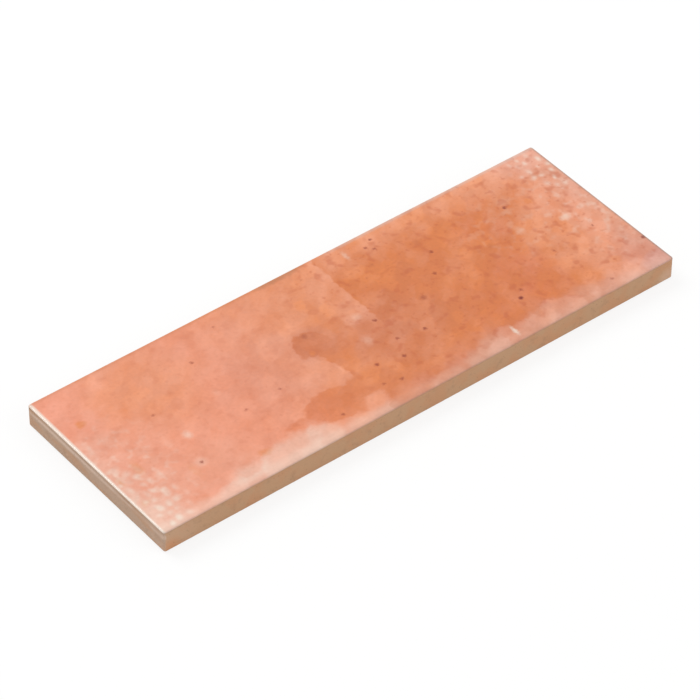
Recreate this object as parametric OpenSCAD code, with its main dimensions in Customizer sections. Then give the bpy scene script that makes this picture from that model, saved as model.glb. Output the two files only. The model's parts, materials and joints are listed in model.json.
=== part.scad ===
// Glazed ceramic wall tile: one pressed and fired piece, lying glaze up.
// Origin at the middle of the back, +X along the length, +Y across the width, +Z out of the glazed face.

/* [Overall size] */
// Length of the tile
tile_length = 200; // [100:5:300]
// Width of the tile
tile_width = 70; // [50:1:150]
// Thickness of the tile, glaze included
tile_thickness = 8.4; // [5:0.1:12]

/* [Glazed face] */
// Radius of the soft rim where the glazed face turns down to the sides
rim_radius = 0.5; // [0.3:0.1:1.5]

/* [Sides] */
// Radius of the four upright corners
corner_radius = 0.8; // [0.5:0.1:5]
// Radius of the rounded edge around the back
back_radius = 0.7; // [0.3:0.1:1.5]

/* [Back] */
// Least flat margin around the keying grooves
back_margin = 9; // [6:0.5:20]
// Distance from one keying groove to the next
groove_pitch = 9; // [6:0.5:15]
// Width of a keying groove
groove_width = 5; // [2:0.5:5.5]
// Depth of a keying groove
groove_depth = 0.6; // [0.3:0.1:1]

/* [Hidden] */
$fn = 64;

// A cut runs this far past the surface that it opens
overcut = 1;
// The upright corners are never as tight as the rounded edges that go round them
plan_radius = max(corner_radius, rim_radius + 0.1, back_radius + 0.1);
// Straight stretches of the outline, between its corners
long_run = tile_length - 2 * plan_radius;
short_run = tile_width - 2 * plan_radius;
// Grooves lie in equal numbers on both sides of a flat land along the middle of the back
grooves_per_side = floor((tile_width / 2 - back_margin - groove_width / 2) / groove_pitch + 0.5);
groove_length = tile_length - 2 * back_margin;

// What a rounded edge takes off an outside corner, from the centre of the rounding
module round_off(radius) {
    difference() {
        square(radius + overcut);
        circle(radius);
    }
}

// Section through a side, from the upright corner's axis outwards
module edge_section() {
    difference() {
        square([plan_radius, tile_thickness]);
        translate([plan_radius - rim_radius, tile_thickness - rim_radius])
            round_off(rim_radius);
        translate([plan_radius - back_radius, back_radius])
            rotate(-90)
                round_off(back_radius);
    }
}

// A straight side of the given length, facing +X
module straight_side(run) {
    rotate([90, 0, 0])
        linear_extrude(run, center = true)
            edge_section();
}

// The slab: four straight sides and four turned corners around a plain middle
module pressed_body() {
    translate([-long_run / 2, -short_run / 2, 0])
        cube([long_run, short_run, tile_thickness]);
    for (turn = [0, 180])
        rotate(turn) {
            translate([long_run / 2, 0, 0])
                straight_side(short_run);
            translate([0, short_run / 2, 0])
                rotate(90)
                    straight_side(long_run);
            translate([long_run / 2, short_run / 2, 0])
                rotate_extrude(angle = 90)
                    edge_section();
            translate([-long_run / 2, short_run / 2, 0])
                rotate(90)
                    rotate_extrude(angle = 90)
                        edge_section();
        }
}

// One shallow groove with round ends, cut up into the back
module keying_groove() {
    straight = groove_length - groove_width;
    translate([0, 0, -overcut])
        linear_extrude(groove_depth + overcut) {
            square([straight, groove_width], center = true);
            for (end = [-1, 1])
                translate([end * straight / 2, 0])
                    circle(groove_width / 2);
        }
}

module tile() {
    color([0.87, 0.58, 0.45])
        difference() {
            pressed_body();
            for (side = [-1, 1], i = [0:1:grooves_per_side - 1])
                translate([0, side * (i + 0.5) * groove_pitch, 0])
                    keying_groove();
        }
}

tile();
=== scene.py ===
import json
import math
import random

import bmesh
import bpy
from mathutils import Euler, Matrix, Vector, noise

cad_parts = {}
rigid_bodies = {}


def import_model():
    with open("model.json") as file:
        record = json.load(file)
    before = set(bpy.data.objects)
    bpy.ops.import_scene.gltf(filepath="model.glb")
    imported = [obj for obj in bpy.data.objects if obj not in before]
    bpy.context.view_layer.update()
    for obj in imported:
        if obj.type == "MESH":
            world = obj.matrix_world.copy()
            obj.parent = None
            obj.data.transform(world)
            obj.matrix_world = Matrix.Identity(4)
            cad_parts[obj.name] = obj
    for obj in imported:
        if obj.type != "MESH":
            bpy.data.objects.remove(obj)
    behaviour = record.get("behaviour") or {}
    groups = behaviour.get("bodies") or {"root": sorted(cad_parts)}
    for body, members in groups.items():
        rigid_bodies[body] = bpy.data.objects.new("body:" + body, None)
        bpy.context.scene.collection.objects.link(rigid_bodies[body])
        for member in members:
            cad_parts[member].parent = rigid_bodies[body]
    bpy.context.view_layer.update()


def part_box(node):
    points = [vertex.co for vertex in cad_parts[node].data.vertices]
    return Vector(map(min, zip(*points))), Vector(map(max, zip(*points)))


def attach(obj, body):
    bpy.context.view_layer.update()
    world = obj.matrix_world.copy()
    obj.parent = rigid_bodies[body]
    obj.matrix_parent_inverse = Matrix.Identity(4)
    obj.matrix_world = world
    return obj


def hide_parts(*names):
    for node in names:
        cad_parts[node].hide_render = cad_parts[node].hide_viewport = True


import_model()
tileLow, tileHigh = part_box("tile")
tileFoot = Vector(((tileLow.x + tileHigh.x) / 2, (tileLow.y + tileHigh.y) / 2, tileLow.z))
mm = 0.001


def hexToLinear(code):
    # sRGB hex to the linear colour that a socket wants
    parts = [int(code[i:i + 2], 16) / 255 for i in (1, 3, 5)]
    return tuple(p / 12.92 if p <= 0.04045 else ((p + 0.055) / 1.055) ** 2.4 for p in parts) + (1,)


def addNode(tree, kind, options, sockets, output=0):
    # options set the node itself; sockets, listed in order or by name, get a value or another node's output
    node = tree.nodes.new("ShaderNode" + kind)
    for name, choice in options.items():
        setattr(node, name, choice)
    placed = sockets if isinstance(sockets, dict) else dict(enumerate(sockets))
    for socket, source in placed.items():
        if isinstance(source, bpy.types.NodeSocket):
            tree.links.new(source, node.inputs[socket])
        else:
            node.inputs[socket].default_value = source
    return node.outputs[output] if node.outputs else node


def joined(tree, operation, parts):
    # one running sum, product or extreme
    total = parts[0]
    for part in parts[1:]:
        total = addNode(tree, "Math", {"operation": operation}, [total, part])
    return total


def newMaterial(name):
    material = bpy.data.materials.new(name)
    material.use_nodes = True
    material.node_tree.nodes.clear()
    return material, material.node_tree


def deselectAll():
    if bpy.context.object and bpy.context.object.mode != "OBJECT":
        bpy.ops.object.mode_set(mode="OBJECT")
    bpy.ops.object.select_all(action="DESELECT")


# camera
cameraView = {
    "azimuth": -38.43,  # degrees; 0 looks along +Y
    "elevation": 42.47,
    "roll": 0.29,
    "distance": 1.2754,
    "lens": 210.6,
    "aimAcross": -0.00216,  # the aim point beside and below the middle of the tile's foot
    "aimUp": -0.00016,
}


def addCamera():
    tilt = Euler((math.radians(90 - cameraView["elevation"]), 0, math.radians(cameraView["azimuth"])))
    turn = tilt.to_matrix() @ Matrix.Rotation(math.radians(cameraView["roll"]), 3, "Z")
    offset = Vector((cameraView["aimAcross"], cameraView["aimUp"], cameraView["distance"]))
    bpy.ops.object.camera_add(location=tileFoot + turn @ offset, rotation=turn.to_euler())
    camera = bpy.context.object
    camera.name = "productCamera"
    camera.data.sensor_width = 36
    camera.data.lens = cameraView["lens"]
    camera.data.clip_start = 0.05
    bpy.context.scene.camera = camera


deselectAll()
addCamera()
print("camera placed")

# floor, world and lamps
studio = {
    "floorSize": 8,
    "floorGap": 0.1 * mm,  # so that floor and back don't share a plane
    "floorColor": "#ececeb",
    "floorGlow": 0.82,  # what the camera sees the floor give off by itself
    "floorSeen": 0.22,  # how much of the lamps' light and shadow the camera sees on it
    "skyLight": 0.62,  # what the white room gives to the tile
    "keySide": 0.9,
    "keyPower": 10,
    "keyFrom": (-0.34, 0.92, 1.26),
    "fillSide": 1.2,
    "fillPower": 6.4,
    "fillFrom": (0.75, -1.25, 1.0),
}


def seenDirectly(tree):
    # 1 for camera, glossy and transmission rays, which find a white room; 0 for bounced light
    rays = addNode(tree, "LightPath", {}, []).node.outputs
    return joined(tree, "MAXIMUM",
                  [rays["Is Camera Ray"], rays["Is Glossy Ray"], rays["Is Transmission Ray"]])


def addFloor():
    bpy.ops.mesh.primitive_plane_add(size=studio["floorSize"],
                                     location=(0, 0, tileLow.z - studio["floorGap"]))
    floor = bpy.context.object
    floor.name = "studioFloor"
    material, tree = newMaterial("paleBackdropPaper")
    paper = hexToLinear(studio["floorColor"])
    lit = addNode(tree, "BsdfDiffuse", {}, {"Color": paper})
    seenPaper = tuple(part * studio["floorSeen"] for part in paper[:3]) + (1,)
    dimmed = addNode(tree, "BsdfDiffuse", {}, {"Color": seenPaper})
    glow = addNode(tree, "Emission", {}, {"Color": (1, 1, 1, 1), "Strength": studio["floorGlow"]})
    shown = addNode(tree, "AddShader", {}, [dimmed, glow])
    surface = addNode(tree, "MixShader", {}, [seenDirectly(tree), lit, shown])
    addNode(tree, "OutputMaterial", {}, {"Surface": surface})
    floor.data.materials.append(material)


def addWorld():
    world = bpy.data.worlds.new("whiteRoom")
    world.use_nodes = True
    bpy.context.scene.world = world
    tree = world.node_tree
    tree.nodes.clear()
    strength = addNode(tree, "MapRange", {}, [seenDirectly(tree), 0, 1, studio["skyLight"], 1])
    sky = addNode(tree, "Background", {}, {"Color": (1, 1, 1, 1), "Strength": strength})
    addNode(tree, "OutputWorld", {}, {"Surface": sky})


def addSoftbox(name, place, side, power, seenInGloss):
    place = Vector(place)
    bpy.ops.object.light_add(type="AREA", location=place, rotation=place.to_track_quat("Z", "Y").to_euler())
    lamp = bpy.context.object
    lamp.name = name
    lamp.data.shape = "SQUARE"
    lamp.data.size = side
    lamp.data.energy = power
    lamp.visible_glossy = seenInGloss


addFloor()
addWorld()
addSoftbox("keySoftbox", studio["keyFrom"], studio["keySide"], studio["keyPower"], True)
# the fill is low, so the glaze would glare with it
addSoftbox("fillSoftbox", studio["fillFrom"], studio["fillSide"], studio["fillPower"], False)
bpy.context.scene.view_settings.view_transform = "Standard"
print("floor, world and lamps placed")

# the tile
tileShape = {
    "cornerRadius": 0.8 * mm,
    "rimRadius": 0.5 * mm,
    "backRadius": 0.7 * mm,
    "grooveCount": 6,
    "groovePitch": 9 * mm,
    "grooveWidth": 5 * mm,
    "grooveLength": 182 * mm,
    "grooveDepth": 0.6 * mm,
    "grooveRounding": 0.2 * mm,
    "cornerSegments": 5,
    "edgeSegments": 4,
    "grooveEndSegments": 10,
    "grooveEdgeSegments": 2,
    "cellsAlong": 20,  # coarse cells on the face, each then cut into finer ones
    "cellsAcross": 7,
    "sideCuts": (2, 3, 4, 5, 6, 7),  # mm up the sides
    "finerCuts": 19,
    "longEdge": 4.5 * mm,  # edges longer than this get the finer cuts
    "cellInset": 1.02,  # in back radii, so that cuts stay clear of the rounded back edge
    "swellSize": 24 * mm,
    "swellDepth": 0.09 * mm,  # long swells of the glazed face
    "rippleSize": 5 * mm,
    "rippleDepth": 0.02 * mm,
    "edgeFall": 0.05 * mm,  # how far the face falls towards its edges
    "edgeFallReach": 4 * mm,
    "dimpleDepth": 0.09 * mm,
    "dimpleSpacing": 3.6,  # mm
    "dimpleJitter": 0.25,  # in spacings
    "dimpleInset": 1.4,  # mm that the dimples' middles stay clear of the edges
    "dimpleStrengths": (0.4, 1),
    "dimpleRadii": (0.7, 1.2),  # in the patch's dimple radii
    "dimpleStretches": (0.85, 1.35),  # over 1 is longer across the tile than along it
    "weakestDimple": 0.05,
    "dimpleFallOff": 1.3,
    "dimpleWander": 0.9 * mm,  # so that no dimple is round
    "dimpleWanderRate": 260,  # per m
    "clayToothSize": 1.6 * mm,
    "clayTooth": 0.05 * mm,  # roughness of the bare sides
    "clayToothFade": 0.3 * mm,
    "bareDepth": 1.1 * mm,  # vertices this close to the sides lie on them
    "smoothAngle": 35,  # degrees
    "seed": 12,
}
# where the face is hammered: middle and half size of the patch and radius of its dimples, in mm
hammeredPatches = [(97, 29, 13, 19, 1.35), (-97, -22, 14, 24, 1.75)]


def choose(piece, kind, test):
    # in edit mode, selects the vertices, edges or faces that pass the test
    bpy.ops.mesh.select_mode(type=kind)
    bpy.ops.mesh.select_all(action="DESELECT")
    edited = bmesh.from_edit_mesh(piece.data)
    for part in {"VERT": edited.verts, "EDGE": edited.edges, "FACE": edited.faces}[kind]:
        if test(part):
            part.select_set(True)
    edited.select_flush_mode()
    bmesh.update_edit_mesh(piece.data)


def span(edge, axis):
    return abs(edge.verts[0].co[axis] - edge.verts[1].co[axis])


def levelAt(edge, height):
    return all(abs(v.co.z - height) < 0.01 * mm for v in edge.verts)


def pressSlab():
    # a slab with upright corners, a soft rim and a rounded back edge
    size = tileHigh - tileLow
    bpy.ops.mesh.primitive_cube_add(size=1, location=tileFoot + Vector((0, 0, size.z / 2)), scale=size)
    tile = bpy.context.object
    tile.name = "glazed_tile"
    bpy.ops.object.transform_apply(location=True, rotation=True, scale=True)
    bpy.ops.object.mode_set(mode="EDIT")
    choose(tile, "EDGE", lambda e: span(e, 2) > size.z / 2)
    bpy.ops.mesh.bevel(offset=tileShape["cornerRadius"], segments=tileShape["cornerSegments"], affect="EDGES")
    choose(tile, "EDGE", lambda e: levelAt(e, tileHigh.z))
    bpy.ops.mesh.bevel(offset=tileShape["rimRadius"], segments=tileShape["edgeSegments"], affect="EDGES")
    choose(tile, "EDGE", lambda e: levelAt(e, tileLow.z))
    bpy.ops.mesh.bevel(offset=tileShape["backRadius"], segments=tileShape["edgeSegments"], affect="EDGES")
    bpy.ops.object.mode_set(mode="OBJECT")
    return tile


def addGrooveCutters():
    # one round-ended cutter, copied across the back
    pitch = tileShape["groovePitch"]
    first = -pitch * (tileShape["grooveCount"] - 1) / 2
    depth = tileShape["grooveDepth"]
    bpy.ops.mesh.primitive_cube_add(size=1, location=tileFoot + Vector((0, first, 0)),
                                    scale=(tileShape["grooveLength"], tileShape["grooveWidth"], 2 * depth))
    cutter = bpy.context.object
    bpy.ops.object.transform_apply(location=True, rotation=True, scale=True)
    bpy.ops.object.mode_set(mode="EDIT")
    choose(cutter, "EDGE", lambda e: span(e, 2) > depth)
    # just short of half the width, so that the two sides of an end don't merge
    bpy.ops.mesh.bevel(offset=tileShape["grooveWidth"] / 2.001, segments=tileShape["grooveEndSegments"],
                       affect="EDGES")
    choose(cutter, "EDGE", lambda e: levelAt(e, tileLow.z + depth))
    bpy.ops.mesh.bevel(offset=tileShape["grooveRounding"], segments=tileShape["grooveEdgeSegments"],
                       affect="EDGES")
    bpy.ops.object.mode_set(mode="OBJECT")
    for copy in range(1, tileShape["grooveCount"]):
        bpy.ops.object.duplicate_move(TRANSFORM_OT_translate={"value": (0, pitch, 0)})
    bpy.ops.object.select_pattern(pattern="Cube*", extend=False)
    bpy.context.view_layer.objects.active = cutter
    bpy.ops.object.join()
    bpy.ops.object.transform_apply(location=True, rotation=True, scale=True)
    return cutter


def cutGrooves(tile):
    cutter = addGrooveCutters()
    deselectAll()
    bpy.context.view_layer.objects.active = tile
    cut = tile.modifiers.new("keyingGrooves", "BOOLEAN")
    cut.operation = "DIFFERENCE"
    cut.solver = "EXACT"
    cut.object = cutter
    bpy.ops.object.modifier_apply(modifier=cut.name)
    bpy.data.objects.remove(cutter)


def cutCells(tile):
    # straight cuts divide the face and sides into coarse cells, then each long edge is cut finer
    inset = tileShape["backRadius"] * tileShape["cellInset"]
    innerX = tileHigh.x - inset
    innerY = tileHigh.y - inset
    aboveBack = tileLow.z + 0.001 * mm

    def beyond(place):
        return abs(place.x) > innerX or abs(place.y) > innerY

    def onOutside(part):
        middle = part.calc_center_median()
        return middle.z > aboveBack and (middle.z > tileShape["backRadius"] or beyond(middle))

    runX = tileHigh.x - tileShape["cornerRadius"]
    runY = tileHigh.y - tileShape["cornerRadius"]
    cuts = [(axis, -run + 2 * run * i / cells)
            for axis, run, cells in ((0, runX, tileShape["cellsAlong"]), (1, runY, tileShape["cellsAcross"]))
            for i in range(cells + 1)]
    cuts += [(2, height * mm) for height in tileShape["sideCuts"]]
    bpy.ops.object.mode_set(mode="EDIT")
    for axis, place in cuts:
        choose(tile, "FACE", onOutside)
        point = Vector((0, 0, 0))
        point[axis] = place
        normal = Vector((0, 0, 0))
        normal[axis] = 1
        bpy.ops.mesh.bisect(plane_co=point, plane_no=normal)
    choose(tile, "EDGE", lambda e: e.calc_length() > tileShape["longEdge"] and (
        e.verts[0].co.z > aboveBack or beyond(e.verts[0].co)))
    bpy.ops.mesh.subdivide(number_cuts=tileShape["finerCuts"])
    bpy.ops.object.mode_set(mode="OBJECT")


def hammerMarks():
    # a loose grid of shallow dimples over each hammered patch, fading towards its edge
    rough = random.Random(tileShape["seed"])
    marks = []
    step = tileShape["dimpleSpacing"]
    jitter = tileShape["dimpleJitter"]
    limitX = tileHigh.x / mm - tileShape["dimpleInset"]
    limitY = tileHigh.y / mm - tileShape["dimpleInset"]
    for middleX, middleY, halfX, halfY, dimpleRadius in hammeredPatches:
        for i in range(-int(halfX / step) - 1, int(halfX / step) + 2):
            for j in range(-int(halfY / step) - 1, int(halfY / step) + 2):
                x = middleX + (i + j % 2 / 2 + rough.uniform(-jitter, jitter)) * step
                y = middleY + (j + rough.uniform(-jitter, jitter)) * step
                strength = 1 - ((x - middleX) / halfX) ** 2 - ((y - middleY) / halfY) ** 2
                strength = min(1, 1.5 * strength) * rough.uniform(*tileShape["dimpleStrengths"])
                radius = dimpleRadius * rough.uniform(*tileShape["dimpleRadii"])
                stretch = rough.uniform(*tileShape["dimpleStretches"])
                if strength > tileShape["weakestDimple"] and abs(x) < limitX and abs(y) < limitY:
                    marks.append((x * mm, y * mm, radius * mm, stretch, strength))
    return marks


def dimpleAt(place, marks):
    # how deep the deepest dimple is at a place, from 0 to 1
    bent = place + noise.noise_vector(place * tileShape["dimpleWanderRate"]) * tileShape["dimpleWander"]
    depth = 0
    for x, y, radius, stretch, strength in marks:
        away = (((bent.x - x) * stretch) ** 2 + ((bent.y - y) / stretch) ** 2) / radius ** 2
        if away < 4:
            depth = max(depth, strength * math.exp(-away * tileShape["dimpleFallOff"]))
    return depth


def smooth(value, start, end):
    share = min(1, max(0, (value - start) / (end - start)))
    return share * share * (3 - 2 * share)


def addRelief(tile):
    # swells, ripples, hammer marks and clay roughness are real relief
    marks = hammerMarks()
    noise.seed_set(tileShape["seed"])  # so that the dimples wander alike in every run
    face = tile.vertex_groups.new(name="face")
    nearEdge = tile.vertex_groups.new(name="nearEdge")
    hammered = tile.vertex_groups.new(name="hammered")
    bare = tile.vertex_groups.new(name="bare")
    hollows = [0.0] * len(tile.data.vertices)
    rimFoot = tileHigh.z - tileShape["rimRadius"]
    for v in tile.data.vertices:
        onFace = smooth(v.co.z, rimFoot, tileHigh.z)
        inside = min(tileHigh.x - abs(v.co.x), tileHigh.y - abs(v.co.y))
        if onFace > 0:
            face.add([v.index], onFace, "REPLACE")
            falling = onFace * (1 - smooth(inside, 0, tileShape["edgeFallReach"]))
            nearEdge.add([v.index], falling, "REPLACE")
        if tileLow.z + 0.05 * mm < v.co.z < rimFoot and inside < tileShape["bareDepth"]:
            bare.add([v.index], smooth(rimFoot - v.co.z, 0, tileShape["clayToothFade"]), "REPLACE")
        if onFace > 0.9:
            hollows[v.index] = dimpleAt(v.co, marks)
            if hollows[v.index] > 0.01:
                hammered.add([v.index], hollows[v.index], "REPLACE")
    hollow = tile.data.attributes.new("hollow", "FLOAT", "POINT")  # the glaze reads it as well
    hollow.data.foreach_set("value", hollows)
    swell = bpy.data.textures.new("longSwell", "CLOUDS")
    swell.noise_scale = tileShape["swellSize"]
    ripple = bpy.data.textures.new("shortRipple", "CLOUDS")
    ripple.noise_scale = tileShape["rippleSize"]
    tooth = bpy.data.textures.new("clayTooth", "CLOUDS")
    tooth.noise_scale = tileShape["clayToothSize"]
    tooth.noise_depth = 3
    for name, texture, group, direction, depth in (
            ("swell", swell, "face", "Z", tileShape["swellDepth"]),
            ("ripple", ripple, "face", "Z", tileShape["rippleDepth"]),
            ("edgeFall", None, "nearEdge", "Z", -tileShape["edgeFall"]),
            ("dimples", None, "hammered", "Z", -tileShape["dimpleDepth"]),
            ("tooth", tooth, "bare", "NORMAL", tileShape["clayTooth"])):
        relief = tile.modifiers.new(name, "DISPLACE")
        relief.texture = texture
        relief.vertex_group = group
        relief.direction = direction
        relief.strength = depth
        relief.mid_level = 1 if texture else 0  # a texture only ever lowers the surface
        relief.texture_coords = "LOCAL"
        bpy.ops.object.modifier_apply(modifier=relief.name)


tile = pressSlab()
cutGrooves(tile)
print("slab pressed, grooves cut:", len(tile.data.polygons), "faces")
cutCells(tile)
print("face and sides divided:", len(tile.data.polygons), "faces")
addRelief(tile)
print("relief added")

# the glaze
# A wall tile glaze in peach and terracotta, poured and fired glossy, clear and deep. Over it lie a painted
# reflection in milky white, with clear gaps, and painted highlights in cream, partly pale engobe at the left
# rim.
glazeLook = {
    "clear": "#d8783e",
    "orange": "#e08040",
    "coral": "#df7f58",
    "red": "#cf6836",
    "brown": "#c66f48",
    "rose": "#c06a4e",
    # white of the painted reflection
    "paintedReflection": "#fffaf4",
    # cream of the painted highlights, and of the pale engobe by the left rim
    "engobeAndHighlight": "#f3e2d1",
    # left rim colour, partly pale engobe and partly painted highlight
    "rim": "#f2e4d6",
    "thinEdge": "#8c7d70",
    "thinBack": "#c07a50",
    "edgeGrey": "#cfc8c0",
    "freckle": "#bd5527",
    "speck": "#760e00",
    "reflectionStrength": 0.092,  # painted reflection where it lies, as a share added to the colour
    "reflectionInClear": 0.012,  # and in the clear part
    "mostHighlight": 0.9,
    "mottling": 0.08,  # how much more mottled it is where there is more painted reflection
    "shading": 0.025,  # how far the coat's thickness darkens or lightens it
    "speckDepth": 0.9,
    "speckReach": 1.65,  # in speck radii
    "wanderWide": 7.0,  # mm that edges wander, over about a centimetre
    "wanderNarrow": 1.8,  # and over 2 to 3 mm
    "wanderFine": 1.0,  # and under a millimetre
    "slant": 0.8,  # radians that the mottling is turned by
    "slow": 22,  # mm across the widest changes of colour, then across ever finer ones
    "cloud": 8,
    "blotch": 5.0,
    "fleck": 1.9,
    "fine": 1.1,
    "gloss": 0.09,
    "peelSize": 1.4,  # mm
    "peelDepth": 0.006,
}
# each patch: its middle in mm from the middle of the face, half its size, its strength and its soft edge
coralGap = [(-68, 20, 15, 18, 0.6, 10)]
rosePatches = [(96, -25, 9, 12, 0.55, 6), (98, -34, 10, 7, 1, 3), (99, 16, 7, 14, 0.25, 5),
               (96, 32, 12, 9, 0.4, 4), (-31, 6, 15, 22, 0.22, 9), (40, -36, 60, 10, 0.4, 3)]
brownPatches = [(11, -6, 19, 15, 0.5, 8), (-14, 3, 8, 7, 0.55, 3), (32, 8, 12, 10, 0.15, 6)]
redPatches = [(58, -12, 9, 15, 0.7, 6), (62, 10, 8, 14, 0.4, 6), (44, -16, 10, 9, 0.3, 5)]
orangeSpots = [(-92.3, 18, 1.6, 1.5, 0.8, 0.7), (-55.5, -26, 2.1, 1.5, 0.75, 0.8),
               (-90, -8, 1.2, 2.8, 0.7, 1), (-28, 35.4, 33, 1.5, 0.5, 0.6), (-76, 35.6, 26, 1.3, 0.5, 0.5),
               (-17.5, 0, 1, 1, 0.6, 0.6), (-97.5, -9.5, 0.8, 1.9, 0.9, 0.7),
               (-96.8, -21.5, 1.3, 0.9, 0.9, 0.7), (85, -24, 2, 1.5, 0.5, 0.8),
               (81.5, 14.5, 1.3, 1.2, 0.7, 0.7), (-77, -19, 1.2, 2.6, 0.4, 1)]
# gaps in the painted reflection, then tongues and hazes of it
reflectionGaps = [(-15.5, 3.5, 6.8, 5.2, 0.95, 0.5), (-8, 1, 9, 8, 0.7, 5), (-27.5, -23, 8.5, 7.6, 0.87, 0.6),
              (-40, -23.4, 6, 1.2, 0.75, 0.7), (-15, -23, 10, 7, 1, 1.5)]
reflectionTongues = [(-15.5, -29.2, 4.6, 3.4, 1, 0.6), (3, 4.5, 3.4, 3, 0.95, 0.9), (-21, -9, 6.3, 9, 1, 0.5)]
reflectionHazes = [(5, -10, 22, 16, 0.02, 8), (-4.5, -8, 5, 3, 0.04, 2), (-21, -9, 6, 9, 0.015, 1.5),
             (-31, -12, 10, 9, -0.012, 6), (38, -36, 13, 9, 0.07, 0.9), (57, -35, 8, 8.5, 0.075, 0.8),
             (84, -36, 17, 9, 0.065, 1.2), (-93, 30, 14, 12, 0.03, 7), (6, -36, 9, 8, 0.035, 2.5),
             (70, 36, 11, 6, 0.03, 3), (75, 18, 4, 5, 0.03, 3), (82, -4, 13, 15, 0.036, 8),
             (-0.5, -6.2, 2, 2.6, 0.07, 1.4), (6, -26.5, 17, 4, 0.028, 3), (74, -27, 6, 4, 0.024, 3)]
# painted highlights and reflections in cream: runs along the front, spots and flecks
highlightRuns = [(-47, -34.5, 15.5, 9.5, 0.37, 1.6), (-68, -37, 20, 6.5, 0.22, 1.2),
                (-88, -38, 16, 8, 0.18, 2), (-99, -32, 9, 16, 0.34, 5), (-94, -16, 16, 22, 0.08, 9),
                (98, 29, 12, 13, 0.06, 6), (-94, 5, 8, 8, 0.14, 5), (99, 4, 6, 28, 0.14, 5),
                (-76, -21, 15, 8, 0.08, 6), (-62, -26, 6, 4, 0.1, 3), (60, -36, 40, 8.5, 0.1, 2.5),
                (27, -36, 10, 8.5, 0.14, 2), (9, -37, 7, 7, 0.08, 2), (-20, -36, 12, 5, 0.12, 2)]
rimCream = [(-100, -17, 4, 22, 0.18, 2.5), (-95, -33, 5, 3, 0.06, 2)]  # beside the rim of the left end, partly pale engobe and partly painted highlight
highlightSpots = [(-65, -30.2, 5.5, 2.8, 0.3, 2), (-69.5, -5.5, 1.2, 1.5, 0.4, 1.1),
              (-73.3, -17.4, 1.9, 1.9, 0.16, 1.2), (86, 1, 1.6, 1.2, 0.42, 1),
              (18.6, 29.5, 0.6, 1.7, 0.3, 0.7), (3.3, 4.8, 1.5, 1.3, 0.17, 1),
              (38.3, -30.4, 0.55, 1.7, 0.75, 0.55), (70, 5, 1.4, 2, 0.16, 1.1),
              (72.6, 14.6, 2.2, 1, 0.14, 0.8), (74.8, 19, 2, 1.5, 0.16, 1.2),
              (-51.5, 4, 1.1, 1.2, 0.1, 0.8), (-0.5, -6, 1.2, 1.4, 0.12, 1)]
highlightFlecks = [(-92, -8, 14, 22, 1, 9), (91, 2, 12, 22, 1, 9), (70, 8, 16, 18, 0.5, 9)]
brownBackEdge = [(-5, 35.8, 11, 2.8, 0.8, 0.9)]
# dark iron specks: place and radius in mm, and how dark
ironSpecks = [(49.6, -20, 0.75, 1.1), (52, -17, 0.7, 0.5), (17, -12.4, 0.7, 0.8), (4, -18.3, 0.75, 0.65),
              (-5, -16.4, 0.65, 0.65), (7, 0, 0.65, 0.65), (7.4, -10.8, 0.6, 0.5), (-3, -26, 0.7, 0.55),
              (35.6, 5.7, 0.7, 0.6), (41.2, 14.2, 0.7, 0.65), (73.3, 16.6, 0.7, 0.8), (29.7, 31, 0.6, 0.6),
              (26, 28.8, 0.55, 0.5), (28, 26.6, 0.55, 0.5), (25.5, -1, 1.1, 0.4), (-49.5, 19.4, 0.6, 0.4),
              (-34.5, 28.5, 0.5, 0.4), (-72.6, 7.8, 0.6, 0.36), (-73.3, -17.7, 0.6, 0.66),
              (-49, -7.8, 0.6, 0.4), (-35.2, -6.5, 0.55, 0.4), (-27, -27.4, 0.7, 0.5),
              (-8.8, -24.4, 0.6, 0.38), (-15, 7.6, 1, 0.3), (99, -21.5, 0.8, 0.8), (99.2, 9.5, 0.6, 0.2),
              (72.3, -9, 0.5, 0.4), (78, -30.6, 0.6, 0.4), (90, -7.2, 0.5, 0.5), (0.5, 29, 0.5, 0.25),
              (40.5, 20.8, 1.1, 0.15), (58, 5, 1.3, 0.18), (22.5, 21, 0.7, 0.2)]
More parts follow.
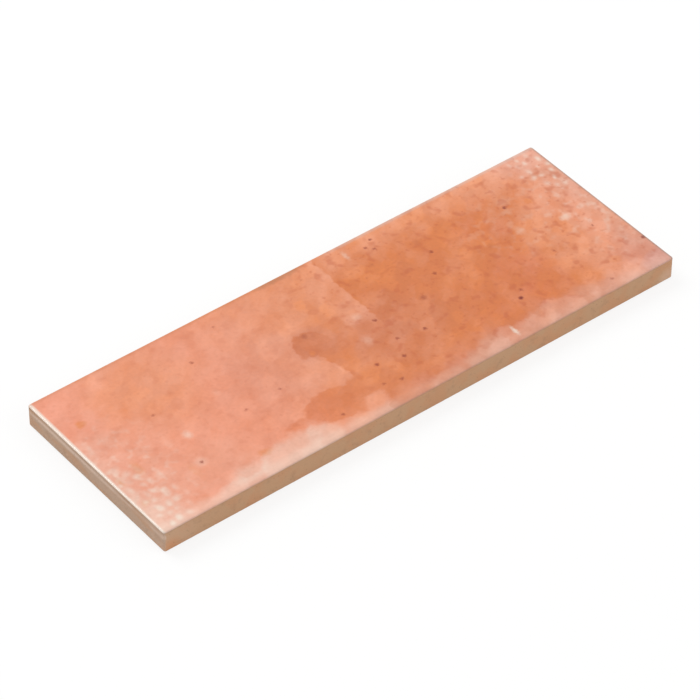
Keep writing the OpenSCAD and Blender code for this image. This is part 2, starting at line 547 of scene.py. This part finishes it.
# each fade: from and to in mm or in a noise's levels, and its two strengths
fades = {
    "orange": (0.42, 0.62, 0, 0.45),
    "coralLeft": (-5, -55, 0, 0.8),
    "coralLeftEnd": (-82, -98, 0, 0.2),
    "coralRightEnd": (75, 98, 0, 0.35),
    # the painted reflection's edges and bands
    "reflectionLeft": (-13.9, -15.1, 0, 1),  # the crisp edge of the painted reflection
    "reflectionUpper": (-4, 6, 0, 1),
    "reflectionToLine": (8.8, 7.9, 0, 1),
    "rightHalf": (4, 12, 0, 1),
    "reflectionBack": (18, 34.5, 0, 0.085),
    "reflectionFront": (-26, -34, 0, 0.03),
    "reflectionRightEnd": (60, 96, 0, 0.095),
    "mottled": (-25, 20, 0.013, 0.02),
    # where the cream painted highlights lie
    "highlightFront": (-30, -33, 0, 0.13),
    "highlightFrontLeft": (30, -40, 0.5, 1),
    "highlightHollow": (0, 1, 0, 1),
    "highlightHollowRight": (-60, 60, 0.44, 0.64),
    "freckledRight": (-20, 12, 0.35, 1),
    "freckledBack": (-33, -25, 0.4, 1),
    "speckHalo": (0, 0.6, 0, 0.45),
    "narrowerRim": (32, -35, -0.1, 0.35),
    # the left rim's pale engobe and painted highlight
    "rim": (-98.6, -99.5, 0, 0.9),
    "thinFront": (-33, -34.6, 0, 0.12),
    "thinFrontEdge": (-34.6, -34.95, 0, 0.25),
    "thinRightEnd": (98.8, 99.6, 0, 0.5),
    "brownBack": (33, 34.6, 0, 0.3),
    "brownBackLeft": (12, 2, 0, 1),
    "greyBack": (33, 34.4, 0, 0.35),
    "greyBackRight": (5, 25, 0, 1),
    # on the bare clay
    "warm": (0.42, 0.62, 0, 1),
    # the painted grey sheen on the ends, and its streaks
    "sheenEnds": (99.2, 99.75, 0, 0.85),
    "leftEnd": (-99, -99.4, 0, 1),
    "lessSheen": (0.54, 0.36, 0, 0.5),
    "stained": (0.55, 0.75, 0, 0.35),
    # the painted highlight along the left end
    "highlightFoot": (4.8, 6.1, 0, 1),
    "highlightTop": (7.2, 6.3, 0, 1),
    "highlightStreaks": (0.36, 0.6, 0.3, 1),
    # the painted shade under the glaze
    "shadeUnderGlaze": (7.3, 7.9, 0, 0.4),
    "wash": (0.12, 0.02, 0, 0.6),
    "washWorn": (0.35, 0.6, 0, 1),
    "pore": (0.16, 0.06, 0, 0.5),
}
# size in mm, from and to in the noise's levels, and strength of irregular soft dots
freckleSizes = [(3.8, 0.56, 0.8, 0.42), (2.1, 0.6, 0.88, 0.42)]
softStep = {"interpolation_type": "SMOOTHSTEP"}
flatNoise = {"noise_dimensions": "2D"}


def strongestPatch(tree, flat, patches):
    # the strongest of several soft-edged ovals
    masks = []
    for x, y, halfX, halfY, strength, soft in patches:
        size = min(halfX, halfY)
        local = addNode(tree, "Mapping", {"vector_type": "TEXTURE"},
                        {"Vector": flat, "Location": (x, y, 0), "Scale": (halfX, halfY, 1)})
        radial = addNode(tree, "VectorMath", {"operation": "LENGTH"}, [local], "Value")
        masks.append(addNode(tree, "MapRange", softStep,
                             [radial, 1 + soft / size, max(0, 1 - soft / size), 0, strength]))
    return joined(tree, "MAXIMUM", masks)


def layCoats(tree, color, coats):
    # each coat lies over the ones before it by its share
    for share, code in coats:
        color = addNode(tree, "Mix", {"data_type": "RGBA"}, {0: share, 6: color, 7: hexToLinear(code)}, 2)
    return color


def wander(tree, vector, size, reach):
    # edges drawn on the result wander by up to half that reach
    noises = addNode(tree, "TexNoise", flatNoise,
                     {"Vector": vector, "Scale": 1 / size, "Detail": 2.0}, "Color")
    centred = addNode(tree, "VectorMath", {"operation": "SUBTRACT"}, [vector, (reach / 2, reach / 2, 0)])
    return addNode(tree, "VectorMath", {"operation": "MULTIPLY_ADD"}, [noises, (reach, reach, 0), centred])


def blotches(tree, vector, size):
    # soft cells, each with its own level between -1 and 1
    cells = addNode(tree, "TexVoronoi", {"feature": "SMOOTH_F1", "voronoi_dimensions": "2D"},
                    {"Vector": vector, "Scale": 1 / size, "Smoothness": 0.6}, "Color")
    return addNode(tree, "MapRange", {}, [cells, 0.2, 0.8, -1, 1])


def freckled(tree, vector, size, least, most, share):
    # irregular soft dots where a noise passes a level
    grains = addNode(tree, "TexNoise", flatNoise, {"Vector": vector, "Scale": 1 / size, "Detail": 1.0})
    return addNode(tree, "MapRange", softStep, [grains, least, most, 0, share])


def glazeFields(tree):
    # what the glaze varies with: places in mm, straight or with wandering edges, and soft noises
    place = addNode(tree, "TexCoord", {}, [], "Object")
    flat = addNode(tree, "Mapping", {}, {"Vector": place, "Scale": (1 / mm, 1 / mm, 0)})
    bent = wander(tree, flat, 2.6, glazeLook["wanderNarrow"])
    wandering = wander(tree, bent, 11, glazeLook["wanderWide"])
    # the glaze was swept on slanting, and its mottling follows
    swept = addNode(tree, "Mapping", {"vector_type": "TEXTURE"},
                    {"Vector": bent, "Rotation": (0, 0, glazeLook["slant"]), "Scale": (1.5, 1, 1)})
    other = addNode(tree, "Mapping", {}, {"Vector": swept, "Location": (37, 61, 0)})
    straight = addNode(tree, "SeparateXYZ", {}, [flat]).node.outputs
    roaming = addNode(tree, "SeparateXYZ", {}, [wandering]).node.outputs
    return {
        "solid": addNode(tree, "Mapping", {}, {"Vector": place, "Scale": (1 / mm, 1 / mm, 1 / mm)}),
        "flat": flat,
        "bent": bent,
        "wandering": wandering,
        "speckle": wander(tree, flat, 0.9, glazeLook["wanderFine"]),
        "swept": swept,
        "along": straight["X"],
        "away": straight["Y"],
        "bentAlong": addNode(tree, "SeparateXYZ", {}, [bent]).node.outputs["X"],
        "roamingAlong": roaming["X"],
        "roamingAway": roaming["Y"],
        "slow": addNode(tree, "TexNoise", flatNoise,
                        {"Vector": flat, "Scale": 1 / glazeLook["slow"], "Detail": 2.0}),
        "cloud": addNode(tree, "TexNoise", flatNoise,
                         {"Vector": swept, "Scale": 1 / glazeLook["cloud"], "Detail": 3.0,
                          "Roughness": 0.55}),
        "fine": addNode(tree, "TexNoise", flatNoise,
                        {"Vector": flat, "Scale": 1 / glazeLook["fine"], "Detail": 1.0}),
        "blotch": blotches(tree, swept, glazeLook["blotch"]),
        "fleck": blotches(tree, swept, glazeLook["fleck"]),
        "tint": blotches(tree, other, glazeLook["blotch"] * 0.8),
    }


def faded(tree, fields, **named):
    # the product of several fades, each given by the field that it follows
    parts = [addNode(tree, "MapRange", softStep, [fields[field], *fades[fade]])
             for field, fade in named.items()]
    return joined(tree, "MULTIPLY", parts)


def tintClear(tree, fields, spots):
    # the clear glaze, more orange, redder or browner in places
    orange = joined(tree, "ADD", [faded(tree, fields, slow="orange"),
                                  joined(tree, "MULTIPLY", [fields["tint"], 0.35])])
    coral = joined(tree, "SUBTRACT", [faded(tree, fields, along="coralLeft"),
                                      strongestPatch(tree, fields["wandering"], coralGap)])
    coral = joined(tree, "ADD", [coral, faded(tree, fields, along="coralLeftEnd"),
                                 faded(tree, fields, along="coralRightEnd")])
    redMottle = addNode(tree, "MapRange", {}, [fields["cloud"], 0.35, 0.65, 0.2, 1])
    red = joined(tree, "MULTIPLY", [strongestPatch(tree, fields["wandering"], redPatches), redMottle])
    return layCoats(tree, hexToLinear(glazeLook["clear"]), [
        (joined(tree, "MAXIMUM", [orange, 0.0]), glazeLook["orange"]),
        (joined(tree, "MAXIMUM", [coral, 0.0]), glazeLook["coral"]),
        (strongestPatch(tree, fields["wandering"], rosePatches), glazeLook["rose"]),
        (strongestPatch(tree, fields["wandering"], brownPatches), glazeLook["brown"]),
        (red, glazeLook["red"]),
        (spots, glazeLook["orange"])])


def reflectionShare(tree, fields, spots):
    # painted reflection lies left of a crisp line and above a soft one, and less in the clear gaps
    paintedReflection = joined(tree, "MAXIMUM", [faded(tree, fields, roamingAlong="reflectionLeft"),
                                    faded(tree, fields, roamingAway="reflectionUpper", bentAlong="reflectionToLine")])
    pooled = strongestPatch(tree, fields["wandering"], reflectionGaps)
    paintedReflection = joined(tree, "MULTIPLY", [paintedReflection, addNode(tree, "Math", {"operation": "SUBTRACT"}, [1.0, pooled])])
    paintedReflection = joined(tree, "MAXIMUM", [paintedReflection, strongestPatch(tree, fields["wandering"], reflectionTongues)])
    paintedReflection = addNode(tree, "Math", {"operation": "MULTIPLY_ADD"}, [paintedReflection, glazeLook["reflectionStrength"], glazeLook["reflectionInClear"]])
    paintedReflection = joined(tree, "ADD", [paintedReflection, strongestPatch(tree, fields["wandering"], reflectionHazes),
                                faded(tree, fields, away="reflectionBack", along="rightHalf"),
                                faded(tree, fields, away="reflectionFront"),
                                faded(tree, fields, along="reflectionRightEnd")])
    # mottled, most in the deep half and where there is much painted reflection
    lively = addNode(tree, "Math", {"operation": "MULTIPLY_ADD"},
                     [paintedReflection, glazeLook["mottling"], faded(tree, fields, along="mottled")])
    wide = addNode(tree, "MapRange", {"clamp": False}, [fields["cloud"], 0.35, 0.65, -0.8, 0.8])
    mottle = joined(tree, "ADD", [wide, joined(tree, "MULTIPLY", [fields["blotch"], 0.8]),
                                  joined(tree, "MULTIPLY", [fields["fleck"], 0.4])])
    paintedReflection = addNode(tree, "Math", {"operation": "MULTIPLY_ADD"}, [mottle, lively, paintedReflection])
    paintedReflection = joined(tree, "MULTIPLY", [paintedReflection, addNode(tree, "MapRange", {}, [spots, 0, 1, 1, 0.2])])
    return joined(tree, "MAXIMUM", [paintedReflection, 0.0])


def highlightShare(tree, fields):
    # painted highlights in cream: runs along the front, spots, and glints in hollows and flecks towards both
    # ends; beside the left rim partly pale engobe
    runs = joined(tree, "MULTIPLY", [strongestPatch(tree, fields["wandering"], highlightRuns),
                                     addNode(tree, "MapRange", {}, [fields["blotch"], -1, 1, 0.8, 1.2])])
    fields["hollow"] = addNode(tree, "Attribute", {"attribute_name": "hollow"}, [], "Fac")
    flecks = joined(tree, "ADD", [freckled(tree, fields["flat"], 3.4, 0.5, 0.8, 0.22),
                                  freckled(tree, fields["swept"], 5, 0.45, 0.7, 0.07)])
    flecks = joined(tree, "MULTIPLY", [strongestPatch(tree, fields["wandering"], highlightFlecks), flecks])
    highlights = joined(tree, "ADD", [runs, flecks,
                                 faded(tree, fields, away="highlightFront", along="highlightFrontLeft"),
                                 faded(tree, fields, hollow="highlightHollow", along="highlightHollowRight"),
                                 strongestPatch(tree, fields["wandering"], rimCream),
                                 strongestPatch(tree, fields["speckle"], highlightSpots)])
    return joined(tree, "MINIMUM", [highlights, glazeLook["mostHighlight"]])


def freckleShare(tree, fields):
    elsewhere = addNode(tree, "Mapping", {}, {"Vector": fields["flat"], "Location": (53, 17, 0)})
    freckles = joined(tree, "MAXIMUM", [freckled(tree, elsewhere, *sizes) for sizes in freckleSizes])
    density = faded(tree, fields, along="freckledRight", away="freckledBack")
    return joined(tree, "MULTIPLY", [freckles, density])


def speckShare(tree, fields):
    masks = []
    for x, y, radius, strength in ironSpecks:
        gap = addNode(tree, "VectorMath", {"operation": "DISTANCE"}, [fields["speckle"], (x, y, 0)], "Value")
        masks.append(addNode(tree, "MapRange", softStep, [gap, glazeLook["speckReach"] * radius, 0.1 * radius,
                                                          0, glazeLook["speckDepth"] * strength]))
    return joined(tree, "MAXIMUM", masks)


def rimCoats(tree, fields):
    # cream along the left end, partly pale engobe and partly painted highlight, narrower towards the front;
    # thin and greyish along the front and the right end; thin and brown at the back of the left half, and
    # grey at the back of the right
    fields["towardsLeft"] = joined(tree, "ADD", [fields["along"], faded(tree, fields, away="narrowerRim")])
    brownBack = joined(tree, "MAXIMUM", [faded(tree, fields, away="brownBack", along="brownBackLeft"),
                                         strongestPatch(tree, fields["bent"], brownBackEdge)])
    return [
        (faded(tree, fields, towardsLeft="rim"), glazeLook["rim"]),
        (faded(tree, fields, away="thinFront"), glazeLook["thinEdge"]),
        (faded(tree, fields, away="thinFrontEdge"), glazeLook["thinEdge"]),
        (faded(tree, fields, along="thinRightEnd"), glazeLook["thinEdge"]),
        (brownBack, glazeLook["thinBack"]),
        (faded(tree, fields, away="greyBack", along="greyBackRight"), glazeLook["edgeGrey"])]


def makeGlaze():
    glaze, tree = newMaterial("glossyTerracottaGlaze")
    fields = glazeFields(tree)
    spots = strongestPatch(tree, fields["bent"], orangeSpots)
    clear = tintClear(tree, fields, spots)
    # the painted reflection is added in milky white over the clear glaze
    color = addNode(tree, "Mix", {"data_type": "RGBA", "blend_type": "ADD", "clamp_result": True},
                    {0: reflectionShare(tree, fields, spots), 6: clear, 7: hexToLinear(glazeLook["paintedReflection"])}, 2)
    # cream painted highlights laid over it
    color = layCoats(tree, color, [(highlightShare(tree, fields), glazeLook["engobeAndHighlight"])])
    # thickness of the coat shades it finely
    least = 1 - glazeLook["shading"]
    most = 1 + glazeLook["shading"]
    shade = joined(tree, "MULTIPLY", [
        addNode(tree, "MapRange", {}, [fields["fine"], 0.25, 0.75, least, most]),
        addNode(tree, "MapRange", {}, [fields["tint"], -1, 1, least, most])])
    color = addNode(tree, "VectorMath", {"operation": "SCALE"}, {0: color, "Scale": shade})
    fields["speck"] = speckShare(tree, fields)
    color = layCoats(tree, color, [
        (freckleShare(tree, fields), glazeLook["freckle"]),
        (faded(tree, fields, speck="speckHalo"), glazeLook["freckle"]),  # rust round each speck
        (fields["speck"], glazeLook["speck"]),
        *rimCoats(tree, fields)])
    # gloss with a slight haze, and a fine orange peel
    gloss = addNode(tree, "MapRange", {}, [fields["cloud"], 0.3, 0.7, glazeLook["gloss"] - 0.03,
                                           glazeLook["gloss"] + 0.05])
    peel = addNode(tree, "TexNoise", {}, {"Vector": fields["solid"], "Scale": 1 / glazeLook["peelSize"],
                                          "Detail": 2.0})
    bump = addNode(tree, "Bump", {}, {"Strength": 0.6, "Distance": glazeLook["peelDepth"] * mm,
                                      "Height": peel})
    shader = addNode(tree, "BsdfPrincipled", {}, {"Base Color": color, "Roughness": gloss, "IOR": 1.5,
                                                  "Normal": bump})
    addNode(tree, "OutputMaterial", {}, {"Surface": shader})
    return glaze


# the clay
# A dry-pressed wall tile body, fired bare on the sides and back: a dull, sandy buff clay with
# iron stains, darker just under the glaze by painted shade, and a painted grey sheen on the ends.
clayLook = {
    "clay": "#c49a77",
    "warm": "#c79570",
    # iron stains, and the painted shade under the glaze
    "rust": "#cb8653",
    "stainAndShade": "#a57e63",
    # pale corner patches, and the painted highlight along the left end
    "greySheen": "#c2a58f",
    # grey of a painted sheen on the ends
    "paleAndHighlight": "#dcbfab",
    "grain": "#8c6a50",
    "wash": "#d9c4ae",
    "roughness": 0.9,
    "stainSize": 9,  # mm, as all the sizes here
    "patchSize": 3,
    "streakSize": 2.4,
    "streakStretch": 0.16,  # streaks on the left end are drawn out along it
    "grainSize": 0.35,
    "poreSpacing": 1.6,
    "pitDepth": 0.03,
}
# pale patches and rust near corners: place and reach in mm, share and colour
clayCorners = [((-97, -35, 4), 14, 0.14, "paleAndHighlight"), ((-97, -35, 0.5), 5, 0.45, "rust"),
               ((98, -35, 1), 5.5, 0.35, "paleAndHighlight")]


def clayFields(tree):
    # what the clay varies with: places in mm and noises
    place = addNode(tree, "TexCoord", {}, [], "Object")
    solid = addNode(tree, "Mapping", {}, {"Vector": place, "Scale": (1 / mm, 1 / mm, 1 / mm)})
    split = addNode(tree, "SeparateXYZ", {}, [solid]).node.outputs
    dragged = addNode(tree, "Mapping", {}, {"Vector": solid, "Scale": (1, clayLook["streakStretch"], 0.8)})
    fields = {
        "solid": solid,
        "along": split["X"],
        "fromMiddle": addNode(tree, "Math", {"operation": "ABSOLUTE"}, [split["X"]]),
        "up": split["Z"],
        "cells": addNode(tree, "TexVoronoi", {},
                         {"Vector": solid, "Scale": 1 / clayLook["poreSpacing"]}, "Distance"),
    }
    for name, vector, size, detail, roughness in (
            ("stains", solid, "stainSize", 4.0, 0.6),
            ("patchy", solid, "patchSize", 3.0, 0.5),
            ("grain", solid, "grainSize", 2.0, 0.5),
            ("streaks", dragged, "streakSize", 3.0, 0.5)):
        fields[name] = addNode(tree, "TexNoise", {}, {"Vector": vector, "Scale": 1 / clayLook[size],
                                                      "Detail": detail, "Roughness": roughness})
    return fields


def makeClay():
    clay, tree = newMaterial("buffFiredClay")
    fields = clayFields(tree)
    # a painted grey sheen lies on the two ends, with less of it in streaks on the left one, and a painted
    # highlight runs along that end
    leftEndHighlight = joined(tree, "MULTIPLY", [
        faded(tree, fields, up="highlightFoot", streaks="highlightStreaks", along="leftEnd"),
        faded(tree, fields, up="highlightTop")])
    color = layCoats(tree, hexToLinear(clayLook["clay"]), [
        (faded(tree, fields, stains="warm"), clayLook["warm"]),
        (faded(tree, fields, fromMiddle="sheenEnds"), clayLook["greySheen"]),
        (faded(tree, fields, streaks="lessSheen", along="leftEnd"), clayLook["warm"]),
        (faded(tree, fields, patchy="stained"), clayLook["stainAndShade"]),
        (leftEndHighlight, clayLook["paleAndHighlight"])])
    for corner, reach, share, shown in clayCorners:
        gap = addNode(tree, "VectorMath", {"operation": "DISTANCE"}, [fields["solid"], corner], "Value")
        near = addNode(tree, "MapRange", softStep, [gap, reach, 0.2 * reach, 0, share])
        color = layCoats(tree, color, [(near, clayLook[shown])])
    # painted shade: a darker line just under the glaze's edge
    unevenly = addNode(tree, "MapRange", {}, [fields["patchy"], 0.3, 0.7, -0.15, 0.15])
    fields["unevenUp"] = joined(tree, "ADD", [unevenly, fields["up"]])
    color = layCoats(tree, color, [(faded(tree, fields, unevenUp="shadeUnderGlaze"), clayLook["stainAndShade"])])
    # sandy grain, and a little paler towards the back, painted light bounced from the floor
    grainAndFloorBounce = joined(tree, "MULTIPLY", [
        addNode(tree, "MapRange", {}, [fields["grain"], 0.3, 0.7, 0.94, 1.06]),
        addNode(tree, "MapRange", {}, [fields["up"], 7, 0.5, 0.99, 1.05])])
    color = addNode(tree, "VectorMath", {"operation": "SCALE"}, {0: color, "Scale": grainAndFloorBounce})
    # a thin kiln wash on the lands of the back, rubbed off in places, and pores all over
    pore = faded(tree, fields, cells="pore")
    color = layCoats(tree, color, [(faded(tree, fields, up="wash", stains="washWorn"), clayLook["wash"]),
                                   (pore, clayLook["grain"])])
    rough = addNode(tree, "MapRange", {}, [fields["grain"], 0, 1, clayLook["roughness"] - 0.1,
                                           clayLook["roughness"] + 0.05])
    pitted = addNode(tree, "Math", {"operation": "SUBTRACT"}, [fields["grain"], pore])
    bump = addNode(tree, "Bump", {}, {"Strength": 0.8, "Distance": clayLook["pitDepth"] * mm,
                                      "Height": pitted})
    shader = addNode(tree, "BsdfPrincipled", {}, {"Base Color": color, "Roughness": rough, "IOR": 1.5,
                                                  "Normal": bump})
    addNode(tree, "OutputMaterial", {}, {"Surface": shader})
    return clay


def dressTile(tile):
    tile.data.materials.append(makeGlaze())
    tile.data.materials.append(makeClay())
    rimFoot = tileHigh.z - tileShape["rimRadius"] - 0.02 * mm
    for part in tile.data.polygons:
        part.material_index = 0 if part.center.z > rimFoot else 1
    deselectAll()
    tile.select_set(True)
    bpy.context.view_layer.objects.active = tile
    bpy.ops.object.shade_smooth_by_angle(angle=math.radians(tileShape["smoothAngle"]))


dressTile(tile)
print("glaze and clay made")

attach(tile, "root")
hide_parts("tile")
